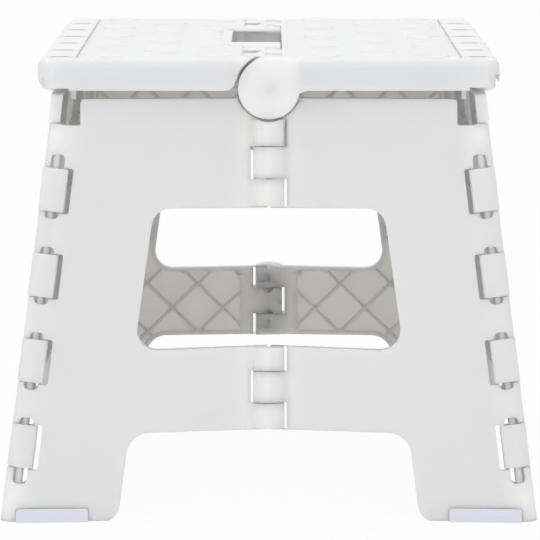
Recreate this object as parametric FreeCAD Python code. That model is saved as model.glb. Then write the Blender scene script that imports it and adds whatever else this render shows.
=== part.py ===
"""Folding step stool in white moulded plastic, open, standing on its feet.

Millimetres. +Z is up, X runs across the photographed short side, Y runs from
that front side to the back, and the origin is the middle of the footprint on
the floor. All six standing panels lean inward like a four-sided pyramid, so
the two axes of every side, its corner hinges and centre hinges meet in one
apex above the stool. That is what lets rigid panels fold flat.
"""
import FreeCAD
import Part
import math
import os
from FreeCAD import Matrix, Placement, Vector

os.makedirs("parts", exist_ok=True)

# Overall sizes
HEIGHT = 220.0
TOP_LENGTH_X = 220.0
TOP_DEPTH_Y = 238.0
BASE_HALF_X = 128.2
SIDE_LEAN = math.radians(7.0)
PANEL_SKIN = 2.6
PAD_RELIEF = 0.5

# Axes of the corner hinges: inset from the side panel's outer face and from
# the front panel's outer face at the floor
AXIS_INSET = 6.05
CORNER_AXIS_X = BASE_HALF_X - AXIS_INSET / math.cos(SIDE_LEAN)
CORNER_AXIS_Y = 138.6
APEX_Z = CORNER_AXIS_X / math.tan(SIDE_LEAN)
APEX = Vector(0, 0, APEX_Z)
LEAN_X = CORNER_AXIS_X / APEX_Z
LEAN_Y = CORNER_AXIS_Y / APEX_Z
FRONT_LEAN = math.atan(LEAN_Y)
HALF_PANEL_TILT = math.asin(AXIS_INSET / CORNER_AXIS_X)

# Top and its hinges
TOP_SURFACE = HEIGHT - PAD_RELIEF
TOP_PLATE = 3.0
TOP_RIB_DROP = 6.5
RIM_HEIGHT = 15.6
RIM_WALL = 2.5
RIM_BOTTOM = TOP_SURFACE - RIM_HEIGHT
END_RADIUS_LOW = 6.5
END_RADIUS_HIGH = 5.5
TOP_CORNER_RADIUS = 9.0
TOP_EDGE_RADIUS = 5.0
BOSS_RADIUS = 14.6
BOSS_THICKNESS = 12.0
BOSS_GAP = 1.4
TOP_AXIS_Z = TOP_SURFACE - BOSS_RADIUS
TOP_PIN_RADIUS = 2.0
FINGER_LENGTH = 15.7
FINGER_GAP = 0.3
LEFT_FINGER_RADIUS = 14.1
RIM_END_RADIUS = 4.5
RIGHT_EDGE_X = 6.5
LEFT_EDGE_X = 13.0
SLOT_LEFT_X = 18.8
SLOT_HALF_Y = 54.0
RECESS_LEFT_X = 35.4
RECESS_DEPTH = 3.2
RECESS_RIB_PITCH = 17.0
STRIP_WIDTH = 15.0
STRIP_RIBS = 6
GROOVE_WIDTH = 3.0
GROOVE_DEPTH = 1.1
DOT_RADIUS = 8.0
DOT_COLUMNS = (26.0, 52.5, 78.0)
DOT_PITCH_Y = 54.0

# Hinge between the top halves and the side panels
SIDE_AXIS_Z = TOP_AXIS_Z
SIDE_AXIS_X = BASE_HALF_X - math.tan(SIDE_LEAN) * SIDE_AXIS_Z
SIDE_PIN_RADIUS = 2.0
SIDE_BARREL_RADIUS = 3.6
SIDE_BARRELS_Y = ((-96.0, -62.0), (-22.0, 22.0), (62.0, 96.0))
TOP_LUGS_Y = ((-61.6, -50.0), (-34.0, -22.4), (22.4, 34.0), (50.0, 61.6))
SIDE_PIN_HALF = 94.0
TOP_LUG_CLEAR = 5.8
END_SKIRT_BOTTOM = SIDE_AXIS_Z + 1.4
END_RELIEF_Y = 116.0
# The right half's hooks leave the pin this much room to wander while folding
HOOK_ROOM_OUT = 1.9
HOOK_ROOM_IN = 1.2
HOOK_ROOM_UP = 1.9
HOOK_DRIFT = 0.4

# Front and back half panels, heights above the floor
PANEL_TOP = 199.5
NOTCH_X = 89.7
NOTCH_Z = 187.0
WINDOW_TOP = 147.7
WINDOW_BOTTOM = 82.2
WINDOW_TOP_X = 54.8
WINDOW_BOTTOM_X = 64.2
WINDOW_RADIUS = 9.5
WINDOW_DROP = 1.8
ARCH_TOP = 43.1
ARCH_DROP = 1.5
ARCH_TOP_X = 66.8
ARCH_FOOT_X = 72.2
ARCH_RADIUS = 11.5
FOOT_RADIUS = 8.0
RIB_HEIGHT = 4.4
RIM_RIB = 2.4
LATTICE_RIB = 1.6
LATTICE_PITCH = 28.0
CENTRE_GAP = 0.8

# Centre hinge of the front and the back
KNUCKLE_RADIUS = 7.4
KNUCKLE_DEPTH = 5.6
KNUCKLE_CLEAR = 8.6
KNUCKLE_BLEND = 11.0
KNUCKLE_GAP = 0.3
KNUCKLE_NOTCH = 2.7
CENTRE_SOLID = 16.0
LEFT_KNUCKLES = ((43.5, 55.6), (70.6, 82.0), (148.5, 161.3), (176.6, 189.4))
RIGHT_KNUCKLES = ((55.6, 70.6), (161.3, 176.6))
CENTRE_PIN_RADIUS = 1.6
CENTRE_PINS = ((45.0, 80.5), (150.0, 187.9))

# Corner hinges: rod, and the side panel's C clips over it
ROD_RADIUS = 2.0
ROD_ENDS = (16.5, 175.5)
CLIP_CENTRES = (35.4, 75.6, 115.9, 156.2)
CLIP_LENGTH = 20.5
CLIP_BORE = 2.6
CLIP_REACH = 6.5
CLIP_WINDOW_REACH = 8.6
CLIP_WINDOW_GAP = 0.6
ROD_SLOT_IN = 4.0
ROD_SLOT_OUT = 2.7
ROD_SLOT_SHORT = 2.9
ROD_SLOT_TOP = 6.2
ROD_SLOT_LOW = 7.2
ROD_SLOT_RADIUS = 2.0
SIDE_EDGE_BACK = 6.9
SIDE_EDGE_FRONT = 4.6
SIDE_EDGE_STEP_Z = 188.6
SIDE_TOP = 202.2
SIDE_RIB_HEIGHT = 5.6
SIDE_FOOT_Y = 87.0
SIDE_PLAIN_HALF = 36.0
SIDE_RIBS_Z = (60.0, 97.0, 134.0, 171.0)
SIDE_RIBS_Y = (60.0, 85.0)

# Grip pads under the feet
PAD_IN_X = 86.0
PAD_OUT_X = 120.5
PAD_SIDE_IN = 91.0
PAD_SIDE_OUT = 128.0
PAD_HEIGHT = 6.4
PAD_SOLE = 1.8
PAD_PROUD = 0.4
PAD_INSET = 1.2
FOOT_LIFT = 0.4

BIG = 400.0

# Small corners and hidden bores are cut as chords, which keeps the facets few
SMALL_RADIUS = 2.5
CORNER_CHORDS = 2
BEAD_SIDES = 20
BEAD_BELOW = 3.0
ROD_BORE_SIDES = 8
PIN_BORE_SIDES = 12
DOT_SIDES = 16
CLIP_CHORDS = 5


def arc_chords(centre, start, end, chords):
    """Points of an arc from start to end, as equal chords."""
    first = start - centre
    last = end - centre
    angle = first.getAngle(last)
    points = []
    for i in range(chords + 1):
        share = i / chords
        points.append(centre + first * (math.sin((1 - share) * angle) / math.sin(angle))
                      + last * (math.sin(share * angle) / math.sin(angle)))
    return points


def rounded_face(corners, chords=0):
    """Face in the XZ plane from (x, z, radius) corners, each rounded.

    Corners under SMALL_RADIUS, or all of them where chords is given, are
    rounded with straight chords in place of an arc.
    """
    count = len(corners)
    cuts = []
    for i in range(count):
        x, z, radius = corners[i]
        here = Vector(x, 0, z)
        before = Vector(corners[i - 1][0], 0, corners[i - 1][1]) - here
        after = Vector(corners[(i + 1) % count][0], 0, corners[(i + 1) % count][1]) - here
        before.normalize()
        after.normalize()
        if radius <= 0:
            cuts.append([here])
            continue
        half = before.getAngle(after) / 2
        reach = radius / math.tan(half)
        middle = before + after
        middle.normalize()
        centre = here + middle * (radius / math.sin(half))
        start = here + before * reach
        end = here + after * reach
        if chords or radius < SMALL_RADIUS:
            cuts.append(arc_chords(centre, start, end, chords or CORNER_CHORDS))
        else:
            cuts.append((start, centre - middle * radius, end))
    edges = []
    for i in range(count):
        here = cuts[i]
        if isinstance(here, tuple):
            edges.append(Part.Arc(*here).toShape())
        else:
            edges += [Part.makeLine(one, two) for one, two in zip(here, here[1:])]
        following = cuts[(i + 1) % count][0]
        if (following - here[-1]).Length > 1e-6:
            edges.append(Part.makeLine(here[-1], following))
    return Part.Face(Part.Wire(edges))


def along_y(face, y0=-BIG, y1=BIG):
    """Solid swept from a face in the XZ plane along Y."""
    moved = face.copy()
    moved.translate(Vector(0, y0, 0))
    return moved.extrude(Vector(0, y1 - y0, 0))


def along_x(face, x0=-BIG, x1=BIG):
    """Solid swept along X from a face drawn as (y, z) in the XZ plane."""
    solid = along_y(face, -x1, -x0)
    solid.rotate(Vector(0, 0, 0), Vector(0, 0, 1), 90)
    return solid


def along_z(face, z0, z1):
    """Solid swept along Z from a face drawn as (x, y) in the XZ plane."""
    solid = along_y(face, -z1, -z0)
    solid.rotate(Vector(0, 0, 0), Vector(1, 0, 0), -90)
    return solid


def axes_placement(origin, first, second, third):
    """Placement whose local X, Y, Z run along three given unit vectors."""
    return Placement(Matrix(
        first.x, second.x, third.x, origin.x,
        first.y, second.y, third.y, origin.y,
        first.z, second.z, third.z, origin.z,
        0, 0, 0, 1))


def box(x0, x1, y0, y1, z0, z1):
    """Axis-aligned box between two corners."""
    return Part.makeBox(x1 - x0, y1 - y0, z1 - z0, Vector(x0, y0, z0))


def rod_y(x, z, radius, y0, y1):
    """Round bar along Y."""
    return Part.makeCylinder(radius, y1 - y0, Vector(x, y0, z), Vector(0, 1, 0))


def sided_bar(sides, radius, low, high, radius_high=None):
    """Straight or tapered bar whose flats touch a round bar of that radius."""
    run = high - low
    way = Vector(run)
    way.normalize()
    across = way.cross(Vector(1, 0, 0))
    across.normalize()
    other = way.cross(across)
    rings = []
    for middle, flat in ((low, radius), (high, radius if radius_high is None else radius_high)):
        reach = flat / math.cos(math.pi / sides)
        corners = []
        for i in range(sides + 1):
            turn = 2 * math.pi * (i % sides + 0.5) / sides
            corners.append(middle + across * (reach * math.cos(turn)) + other * (reach * math.sin(turn)))
        rings.append(Part.makePolygon(corners))
    return Part.makeLoft(rings, True, True)


def hole_y(x, z, radius, y0, y1):
    """Many-sided bore along Y that a pin of the radius just fills."""
    return sided_bar(PIN_BORE_SIDES, radius, Vector(x, y0, z), Vector(x, y1, z))


def fuse_all(shapes):
    """Union of a list of solids."""
    first = shapes[0]
    return first.multiFuse(shapes[1:]) if len(shapes) > 1 else first


def unit(vector):
    """Copy of a vector with length one."""
    copy = Vector(vector)
    copy.normalize()
    return copy


def mirror_x(shape):
    """Mirror image across the plane X = 0."""
    return shape.mirror(Vector(0, 0, 0), Vector(1, 0, 0))


def mirror_y(shape):
    """Mirror image across the plane Y = 0."""
    return shape.mirror(Vector(0, 0, 0), Vector(0, 1, 0))


def turned(shape):
    """The same moulding turned half round about the stool's vertical axis."""
    copy = shape.copy()
    copy.rotate(Vector(0, 0, 0), Vector(0, 0, 1), 180)
    return copy


def corner_x(z):
    """Distance of the corner axis from the middle plane X = 0 at a height."""
    return CORNER_AXIS_X - LEAN_X * z


def corner_y(z):
    """Distance of the corner axis from the middle plane Y = 0 at a height."""
    return CORNER_AXIS_Y - LEAN_Y * z


def corner_point(z):
    """Point of the front left corner axis at a height."""
    return Vector(-corner_x(z), -corner_y(z), z)


def corner_bar(radius, z0, z1, radius_top=None):
    """Round or tapered bar on the front left corner axis."""
    low = corner_point(z0)
    high = corner_point(z1)
    length = (high - low).Length
    if radius_top is None:
        return Part.makeCylinder(radius, length, low, high - low)
    return Part.makeCone(radius, radius_top, length, low, high - low)


# Local frame of the front left half panel: along it, up it, into the stool
CENTRE_FOOT = Vector(0, -CORNER_AXIS_Y, 0)
UP_PANEL = Vector(0, math.sin(FRONT_LEAN), math.cos(FRONT_LEAN))
FLAT_OUT = Vector(0, -math.cos(FRONT_LEAN), math.sin(FRONT_LEAN))
ALONG_PANEL = Vector(-1, 0, 0) * math.cos(HALF_PANEL_TILT) + FLAT_OUT * math.sin(HALF_PANEL_TILT)
INTO_PANEL = ALONG_PANEL.cross(UP_PANEL)
PANEL_FRAME = axes_placement(CENTRE_FOOT, ALONG_PANEL, UP_PANEL, INTO_PANEL)

# Local frame of the left side panel: along Y, up it, into the stool
SIDE_FOOT = Vector(-BASE_HALF_X, 0, 0)
UP_SIDE = Vector(math.sin(SIDE_LEAN), 0, math.cos(SIDE_LEAN))
INTO_SIDE = Vector(math.cos(SIDE_LEAN), 0, -math.sin(SIDE_LEAN))
SIDE_FRAME = axes_placement(SIDE_FOOT, Vector(0, 1, 0), UP_SIDE, INTO_SIDE)


def slab(frame, depth0, depth1, reach=260.0):
    """Flat slab of a panel between two depths behind its outer face."""
    solid = Part.makeBox(2 * reach, 2 * reach, depth1 - depth0, Vector(-reach, -reach, depth0))
    solid.Placement = frame
    return solid


def panel_depth(point):
    """Depth of a point behind the front left half panel's outer face."""
    return (point - CENTRE_FOOT).dot(INTO_PANEL)


def bead_radius(z):
    """Corner bead's radius, so that it is tangent to the outer face."""
    return abs(panel_depth(corner_point(z)))


def lattice(x0, x1, z0, z1, width):
    """Diagonal rib strips crossing as diamonds, as solids along Y."""
    strips = []
    reach = (z1 - z0) + (x1 - x0)
    count = int(reach / LATTICE_PITCH) + 2
    for slope in (-1, 1):
        for i in range(-count, count + 1):
            strip = Part.makeBox(2 * reach, 2 * BIG, width, Vector(-reach, -BIG, -width / 2))
            strip.rotate(Vector(0, 0, 0), Vector(0, 1, 0), 45 * slope)
            strip.translate(Vector((x0 + x1) / 2 + i * LATTICE_PITCH, 0, (z0 + z1) / 2))
            strips.append(strip)
    return Part.makeCompound(strips).common(box(x0, x1, -BIG, BIG, z0, z1))


def window_outline(grow=0.0):
    """Left half of the window, open toward the centre hinge."""
    return rounded_face([
        (BIG / 8, WINDOW_TOP + grow, 0),
        (-WINDOW_TOP_X - grow, WINDOW_TOP + grow, WINDOW_RADIUS + grow),
        (-WINDOW_BOTTOM_X - grow, WINDOW_BOTTOM - WINDOW_DROP - grow, WINDOW_RADIUS + grow),
        (0, WINDOW_BOTTOM - grow, 0),
        (BIG / 8, WINDOW_BOTTOM - grow, 0),
    ], 4 if grow else 0)


def half_panel_outline(inset=0.0):
    """Front elevation of the left half panel without window or clips."""
    arch_run = (ARCH_FOOT_X - ARCH_TOP_X) / ARCH_TOP
    top_x = corner_x(NOTCH_Z) - inset
    return rounded_face([
        (-inset, PANEL_TOP - inset, 0),
        (-NOTCH_X + inset, PANEL_TOP - inset, 2.0),
        (-NOTCH_X + inset, NOTCH_Z - inset, 1.0),
        (-top_x - LEAN_X * inset, NOTCH_Z - inset, 0),
        (-corner_x(inset) + inset, inset, 0),
        (-ARCH_FOOT_X - inset + arch_run * inset, inset, FOOT_RADIUS),
        (-ARCH_TOP_X - inset, ARCH_TOP - ARCH_DROP + inset, ARCH_RADIUS + inset),
        (-inset, ARCH_TOP + inset, 0),
    ], 4 if inset else 0)


def corner_frame(z):
    """Half panel's frame at its corner axis: inboard, along the rod, into the stool."""
    rise = unit(corner_point(200.0) - corner_point(0.0))
    inboard = INTO_PANEL.cross(rise)
    inboard.normalize()
    return axes_placement(corner_point(z), inboard, rise, inboard.cross(rise))


def corner_prism(z, face_corners):
    """Cutter through the half panel, drawn as (inboard, along the rod)."""
    face = rounded_face([(x, -up, radius) for x, up, radius in face_corners])
    solid = along_y(face, -40, 40)
    # the face's Y sweep becomes the way through the panel
    solid.rotate(Vector(0, 0, 0), Vector(1, 0, 0), 90)
    solid.Placement = corner_frame(z).multiply(solid.Placement)
    return solid


def clip_window(index):
    """Opening in the half panel's edge for one clip, with its rod slots."""
    half = CLIP_LENGTH / 2 + CLIP_WINDOW_GAP
    above = ROD_SLOT_TOP if index == len(CLIP_CENTRES) - 1 else ROD_SLOT_SHORT
    below = ROD_SLOT_LOW if index == 0 else ROD_SLOT_SHORT
    window = corner_prism(CLIP_CENTRES[index], [
        (CLIP_WINDOW_REACH, -half, 1.0), (CLIP_WINDOW_REACH, half, 1.0), (-30, half, 0), (-30, -half, 0)])
    slot = corner_prism(CLIP_CENTRES[index], [
        (ROD_SLOT_IN, -half - below, ROD_SLOT_RADIUS), (ROD_SLOT_IN, half + above, ROD_SLOT_RADIUS),
        (-ROD_SLOT_OUT, half + above, ROD_SLOT_RADIUS), (-ROD_SLOT_OUT, -half - below, ROD_SLOT_RADIUS)])
    return window.fuse(slot)


def centre_bar(radius, z0, z1):
    """Round bar on the front's centre axis."""
    low = CENTRE_FOOT + UP_PANEL * (z0 / math.cos(FRONT_LEAN))
    return Part.makeCylinder(radius, (z1 - z0) / math.cos(FRONT_LEAN), low, UP_PANEL)


def knuckle_block(z0, z1):
    """Knuckle of the left half panel: round outside, hollow-blended, pocketed inside."""
    low = z0 / math.cos(FRONT_LEAN) + KNUCKLE_GAP / 2
    high = z1 / math.cos(FRONT_LEAN) - KNUCKLE_GAP / 2
    # a hollow arc touches both the barrel and the panel's outer face
    blend = (KNUCKLE_BLEND ** 2 - KNUCKLE_RADIUS ** 2) / (2 * KNUCKLE_RADIUS)
    share = KNUCKLE_RADIUS / (KNUCKLE_RADIUS + blend)
    touch = Vector(KNUCKLE_BLEND * share, low, -blend * share)
    centre = Vector(KNUCKLE_BLEND, low, -blend)
    foot = Vector(KNUCKLE_BLEND, low, 0)
    hollow = arc_chords(centre, touch, foot, CLIP_CHORDS)
    corners = hollow + [
        Vector(KNUCKLE_BLEND, low, RIB_HEIGHT),
        Vector(KNUCKLE_RADIUS, low, KNUCKLE_DEPTH),
        Vector(-KNUCKLE_RADIUS, low, KNUCKLE_DEPTH),
        Vector(-KNUCKLE_RADIUS, low, 0),
    ]
    edges = [Part.Arc(corners[-1], Vector(0, low, -KNUCKLE_RADIUS), touch).toShape()]
    edges += [Part.makeLine(one, two) for one, two in zip(corners, corners[1:])]
    solid = Part.Face(Part.Wire(edges)).extrude(Vector(0, high - low, 0))
    middle = (low + high) / 2
    floor = KNUCKLE_DEPTH - 2.4
    if high - low > 2 * KNUCKLE_RADIUS - 2:
        places = [(0, low), (0, high), (-KNUCKLE_RADIUS, middle)]
        hollows = [Part.makeCylinder(KNUCKLE_NOTCH, 5, Vector(along, up, floor), Vector(0, 0, 1))
                   for along, up in places]
    else:
        half = KNUCKLE_NOTCH - 0.1
        hollows = [Part.makeBox(2 * KNUCKLE_RADIUS - 2.4, 2 * half, 5,
                                Vector(-KNUCKLE_RADIUS + 1.2, middle - half, floor))]
    solid = solid.cut(hollows)
    solid.Placement = PANEL_FRAME
    return solid


def knuckle_gap(low, high):
    """Space in the panel's edge for a neighbour's knuckle."""
    gap = Part.makeBox(40 + KNUCKLE_CLEAR, high - low, 60, Vector(-40, low, -30))
    gap.Placement = PANEL_FRAME
    return gap


def half_panel(own, other):
    """Front left half panel with its own knuckles, cut clear of the other's."""
    thick = slab(PANEL_FRAME, 0, RIB_HEIGHT)
    pocket = slab(PANEL_FRAME, PANEL_SKIN, RIB_HEIGHT + 20)
    outline = along_y(half_panel_outline())
    window = along_y(window_outline())
    body = thick.common(outline).cut(window)
    hollow = pocket.common(along_y(half_panel_outline(RIM_RIB)))
    keep = along_y(window_outline(RIM_RIB))
    clip_guard = []
    for i in range(len(CLIP_CENTRES)):
        z = CLIP_CENTRES[i]
        clip_guard.append(box(-corner_x(z) - 20, -corner_x(z) + CLIP_WINDOW_REACH + RIM_RIB,
                              -BIG, 0, z - CLIP_LENGTH / 2 - 3, z + CLIP_LENGTH / 2 + 3))
    clip_guard.append(along_y(rounded_face([
        (-corner_x(0) - 20, 0, 0), (-corner_x(0) + 7.5, 0, 0),
        (-corner_x(NOTCH_Z) + 7.5, NOTCH_Z, 0), (-corner_x(NOTCH_Z) - 20, NOTCH_Z, 0)])))
    clip_guard.append(box(-CENTRE_SOLID, 40, -BIG, 0, 0, HEIGHT))
    clip_guard.append(rod_y(0, TOP_AXIS_Z, BOSS_RADIUS + BOSS_GAP + RIM_RIB, -BIG, 0))
    hollow = hollow.cut(fuse_all([keep] + clip_guard))
    ribs = lattice(-135, 0, 0, PANEL_TOP, LATTICE_RIB)
    hollow = hollow.cut(ribs)
    body = body.cut(hollow)
    bead = sided_bar(BEAD_SIDES, bead_radius(-BEAD_BELOW), corner_point(-BEAD_BELOW), corner_point(NOTCH_Z),
                     bead_radius(NOTCH_Z))
    body = body.fuse(bead)
    clear = []
    for z0, z1 in other:
        low = z0 / math.cos(FRONT_LEAN) - KNUCKLE_GAP / 2
        high = z1 / math.cos(FRONT_LEAN) + KNUCKLE_GAP / 2
        clear.append(knuckle_gap(low, high))
    clear.append(box(-CENTRE_GAP, 40, -BIG, 0, 0, HEIGHT))
    body = body.cut(fuse_all(clear))
    body = body.fuse([knuckle_block(z0, z1) for z0, z1 in own])
    # the boss of the top sits in a round cut of the upper edge
    body = body.cut(rod_y(0, TOP_AXIS_Z, BOSS_RADIUS + BOSS_GAP, -BIG, 0))
    body = body.cut([clip_window(i) for i in range(len(CLIP_CENTRES))])
    body = body.cut(sided_bar(ROD_BORE_SIDES, ROD_RADIUS, corner_point(ROD_ENDS[0]), corner_point(ROD_ENDS[1])))
    body = body.cut(box(-BIG, BIG, -BIG, 0, -BIG, FOOT_LIFT))
    body = body.cut(foot_pad())
    return body.removeSplitter()


def foot_pad():
    """Grip pad of the front left half panel: a sole and a low front lip."""
    lip = slab(PANEL_FRAME, -PAD_PROUD, PAD_INSET).common(along_y(rounded_face([
        (-PAD_IN_X, 0, 0), (-PAD_IN_X, PAD_HEIGHT, 1.5),
        (-PAD_OUT_X, PAD_HEIGHT, 1.5), (-PAD_OUT_X, 0, 0)])))
    sole = slab(PANEL_FRAME, -PAD_PROUD, RIB_HEIGHT).common(along_y(rounded_face([
        (-PAD_IN_X, 0, 0), (-PAD_IN_X, PAD_SOLE, 0), (-PAD_OUT_X, PAD_SOLE, 0), (-PAD_OUT_X, 0, 0)])))
    return lip.fuse(sole).removeSplitter()


def side_pads():
    """Two grip pads under the left side panel's feet."""
    solids = []
    for sign in (-1, 1):
        outline = rounded_face([
            (sign * PAD_SIDE_IN, 0, 0), (sign * PAD_SIDE_IN, PAD_HEIGHT, 1.5),
            (sign * PAD_SIDE_OUT, PAD_HEIGHT, 1.5), (sign * PAD_SIDE_OUT, 0, 0)])
        low = rounded_face([
            (sign * PAD_SIDE_IN, 0, 0), (sign * PAD_SIDE_IN, PAD_SOLE, 0),
            (sign * PAD_SIDE_OUT, PAD_SOLE, 0), (sign * PAD_SIDE_OUT, 0, 0)])
        lip = slab(SIDE_FRAME, -PAD_PROUD, PAD_INSET).common(along_x(outline, -BIG, 0))
        sole = slab(SIDE_FRAME, -PAD_PROUD, SIDE_RIB_HEIGHT).common(along_x(low, -BIG, 0))
        solids.append(lip.fuse(sole).removeSplitter())
    return solids


def side_outline(inset=0.0):
    """Side elevation of the left side panel as (y, z)."""
    half = []
    half.append((corner_y(0) - SIDE_EDGE_BACK - inset, inset, 0))
    step = SIDE_EDGE_STEP_Z + inset
    half.append((corner_y(step) - SIDE_EDGE_BACK - inset, step, 0))
    half.append((corner_y(step) + SIDE_EDGE_FRONT - inset, step, 0))
    half.append((corner_y(SIDE_TOP) + SIDE_EDGE_FRONT - inset, SIDE_TOP - inset, 2.0))
    leg = (SIDE_FOOT_Y + inset, inset, FOOT_RADIUS)
    arch = (SIDE_FOOT_Y - LEAN_Y * ARCH_TOP + inset, ARCH_TOP + inset, ARCH_RADIUS + inset)
    corners = list(half)
    corners += [(-y, z, r) for y, z, r in reversed(half)]
    corners += [(-leg[0], leg[1], leg[2]), (-arch[0], arch[1], arch[2]), arch, leg]
    return rounded_face(corners, 4 if inset else 0)


def clip_frame(z):
    """Local frame of a clip: inboard, outward of the front, along the rod."""
    rise = unit(corner_point(200.0) - corner_point(0.0))
    outward = INTO_SIDE.cross(rise)
    return axes_placement(corner_point(z), INTO_SIDE, outward, rise * -1)


def clip(z):
    """One C clip of the left side panel at the front left corner."""
    ring = AXIS_INSET
    plate = ring - PANEL_SKIN
    zero = Vector(0, 0, 0)
    corner = arc_chords(zero, Vector(-ring, 0, 0), Vector(0, ring, 0), CLIP_CHORDS)
    back = arc_chords(zero, Vector(0, CLIP_BORE, 0), Vector(-CLIP_BORE, 0, 0), CLIP_CHORDS - 1)
    back += arc_chords(zero, Vector(-CLIP_BORE, 0, 0), Vector(0, -CLIP_BORE, 0), CLIP_CHORDS - 1)[1:]
    profile = [Vector(-ring, -9.0, 0)] + corner + [
        Vector(CLIP_REACH - 1.5, ring - 0.2, 0),
        Vector(CLIP_REACH - 0.5, ring - 0.7, 0),
        Vector(CLIP_REACH, ring - 1.8, 0),
        Vector(CLIP_REACH, 1.9, 0),
        Vector(CLIP_REACH - 0.8, 1.2, 0),
        Vector(CLIP_REACH - 1.8, 1.9, 0),
        Vector(CLIP_REACH - 2.4, 3.0, 0),
    ] + back + [
        Vector(3.4, -CLIP_BORE, 0),
        Vector(4.3, -CLIP_BORE - 1.1, 0),
        Vector(3.4, -CLIP_BORE - 2.2, 0),
        Vector(-plate, -CLIP_BORE - 2.2, 0),
        Vector(-plate, -9.0, 0),
    ]
    face = Part.Face(Part.makePolygon(profile + profile[:1]))
    solid = face.extrude(Vector(0, 0, CLIP_LENGTH))
    solid.translate(Vector(0, 0, -CLIP_LENGTH / 2))
    solid.Placement = clip_frame(z).multiply(solid.Placement)
    return solid


def side_panel():
    """Left side panel with eight clips, arch, inner ribs and hinge barrels."""
    body = slab(SIDE_FRAME, 0, SIDE_RIB_HEIGHT).common(along_x(side_outline(), -BIG, 0))
    hollow = slab(SIDE_FRAME, PANEL_SKIN, 40).common(along_x(side_outline(RIM_RIB), -BIG, 0))
    half = LATTICE_RIB / 2
    ribs = [box(-BIG, 0, -BIG, BIG, z - half, z + half) for z in SIDE_RIBS_Z]
    ribs += [box(-BIG, 0, sign * y - half, sign * y + half, 0, SIDE_TOP) for y in SIDE_RIBS_Y for sign in (-1, 1)]
    hollow = hollow.cut(ribs)
    plain = slab(SIDE_FRAME, PANEL_SKIN, 40).common(
        box(-BIG, 0, -SIDE_PLAIN_HALF, SIDE_PLAIN_HALF, 0, SIDE_TOP - 8))
    body = body.cut(hollow).cut(plain)
    clips = [clip(z) for z in CLIP_CENTRES]
    clips += [mirror_y(one) for one in clips]
    body = body.fuse(clips)
    foot_x = BASE_HALF_X - math.tan(SIDE_LEAN) * 198.0
    web = rounded_face([
        (-SIDE_AXIS_X, SIDE_AXIS_Z, 0), (-foot_x, 198.0, 0),
        (-foot_x + PANEL_SKIN + 1.0, 198.0, 0), (-SIDE_AXIS_X + SIDE_BARREL_RADIUS, SIDE_AXIS_Z, 0)])
    barrels = []
    for y0, y1 in SIDE_BARRELS_Y:
        barrels.append(rod_y(-SIDE_AXIS_X, SIDE_AXIS_Z, SIDE_BARREL_RADIUS, y0, y1))
        barrels.append(along_y(web, y0, y1))
    body = body.cut([box(-BIG, 0, y0 - 0.4, y1 + 0.4, SIDE_AXIS_Z - TOP_LUG_CLEAR, HEIGHT)
                     for y0, y1 in TOP_LUGS_Y])
    body = body.fuse(barrels)
    body = body.cut(hole_y(-SIDE_AXIS_X, SIDE_AXIS_Z, SIDE_PIN_RADIUS, -SIDE_PIN_HALF, SIDE_PIN_HALF))
    body = body.cut(box(-BIG, BIG, -BIG, BIG, -BIG, FOOT_LIFT))
    body = body.cut(side_pads())
    return body.removeSplitter()


def top_block(sign, inner_x):
    """Outer form of one half of the top, before it is hollowed."""
    half_x = TOP_LENGTH_X / 2
    half_y = TOP_DEPTH_Y / 2
    plan = rounded_face([
        (sign * inner_x, -half_y, 0), (sign * half_x, -half_y, TOP_CORNER_RADIUS),
        (sign * half_x, half_y, TOP_CORNER_RADIUS), (sign * inner_x, half_y, 0)])
    front = rounded_face([
        (sign * inner_x, RIM_BOTTOM, 0), (sign * half_x, RIM_BOTTOM, END_RADIUS_LOW),
        (sign * half_x, TOP_SURFACE, END_RADIUS_HIGH), (sign * inner_x, TOP_SURFACE, 0)])
    side = rounded_face([
        (-half_y, RIM_BOTTOM, 0), (half_y, RIM_BOTTOM, 0),
        (half_y, TOP_SURFACE, TOP_EDGE_RADIUS), (-half_y, TOP_SURFACE, TOP_EDGE_RADIUS)])
    solid = along_z(plan, RIM_BOTTOM, TOP_SURFACE)
    return solid.common(along_y(front)).common(along_x(side))


def top_hollow(sign, inner_x):
    """Space under the top plate inside the rim, without the inner ribs."""
    half_x = TOP_LENGTH_X / 2 - RIM_WALL
    half_y = TOP_DEPTH_Y / 2 - RIM_WALL
    plan = rounded_face([
        (sign * inner_x, -half_y, 0), (sign * half_x, -half_y, TOP_CORNER_RADIUS - RIM_WALL),
        (sign * half_x, half_y, TOP_CORNER_RADIUS - RIM_WALL), (sign * inner_x, half_y, 0)])
    solid = along_z(plan, RIM_BOTTOM - 5, TOP_SURFACE - TOP_PLATE)
    ribs = []
    for x in (40.0, 66.0, 91.0):
        ribs.append(box(sign * x - 0.8, sign * x + 0.8, -BIG, BIG, TOP_SURFACE - TOP_RIB_DROP, HEIGHT))
    for y in (-90.0, -36.0, 0.0, 36.0, 90.0):
        ribs.append(box(-BIG, BIG, y - 0.8, y + 0.8, TOP_SURFACE - TOP_RIB_DROP, HEIGHT))
    return solid.cut(fuse_all(ribs))


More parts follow.
